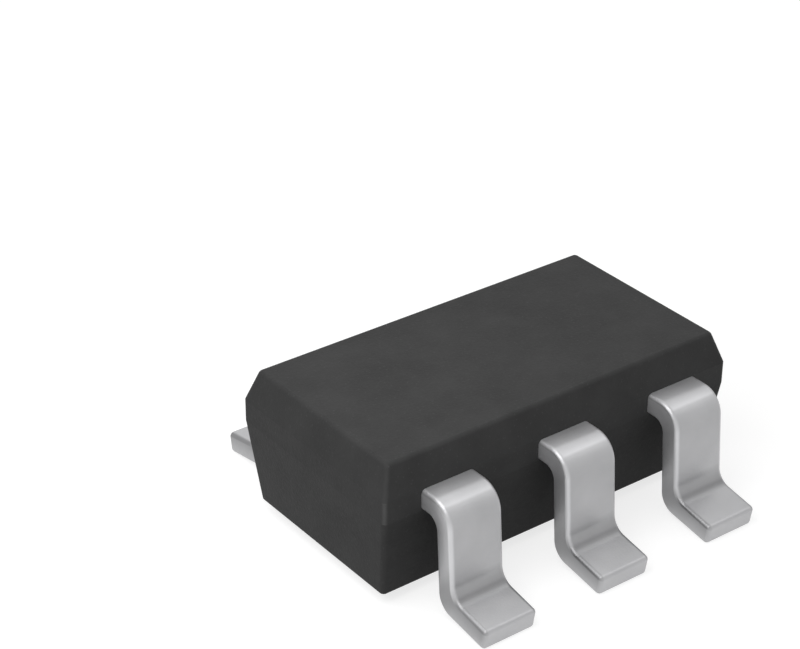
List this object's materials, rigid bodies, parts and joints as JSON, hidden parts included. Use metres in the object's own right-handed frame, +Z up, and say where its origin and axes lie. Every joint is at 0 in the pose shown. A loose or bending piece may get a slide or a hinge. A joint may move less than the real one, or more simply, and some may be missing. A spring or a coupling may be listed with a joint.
{
  "type": "memory chip",
  "caption": "Small surface-mount memory chip: bevelled black moulded body with tinned gull-wing leads on both long sides.",
  "frame": {"origin": "on the board plane that the feet stand on, under the centre of the body", "axes": "+Z up from the board, +X along the long side of the body, -Y towards the side with pins 1, 2 and 3 (pin 1 at -X)"},
  "size_m": [0.0028, 0.0028, 0.0011],
  "materials": {
    "mould_compound": "dark grey epoxy mould compound, fine matte texture",
    "tinned_lead": "matte tin plating on copper alloy",
    "silicon": "polished silicon with a passivated face",
    "die_glue": "silver-filled epoxy",
    "gold_wire": "drawn gold"
  },
  "bodies": {
    "root": {"moulded_body": "mould_compound", "memory_die": "silicon", "die_attach": "die_glue", "pin_1_lead": "tinned_lead", "bond_wire_1": "gold_wire", "pin_2_lead": "tinned_lead", "bond_wire_2": "gold_wire", "pin_3_lead": "tinned_lead", "bond_wire_3": "gold_wire", "pin_4_lead": "tinned_lead", "bond_wire_4": "gold_wire", "pin_5_lead": "tinned_lead", "bond_wire_5": "gold_wire"}
  },
  "joints": []
}
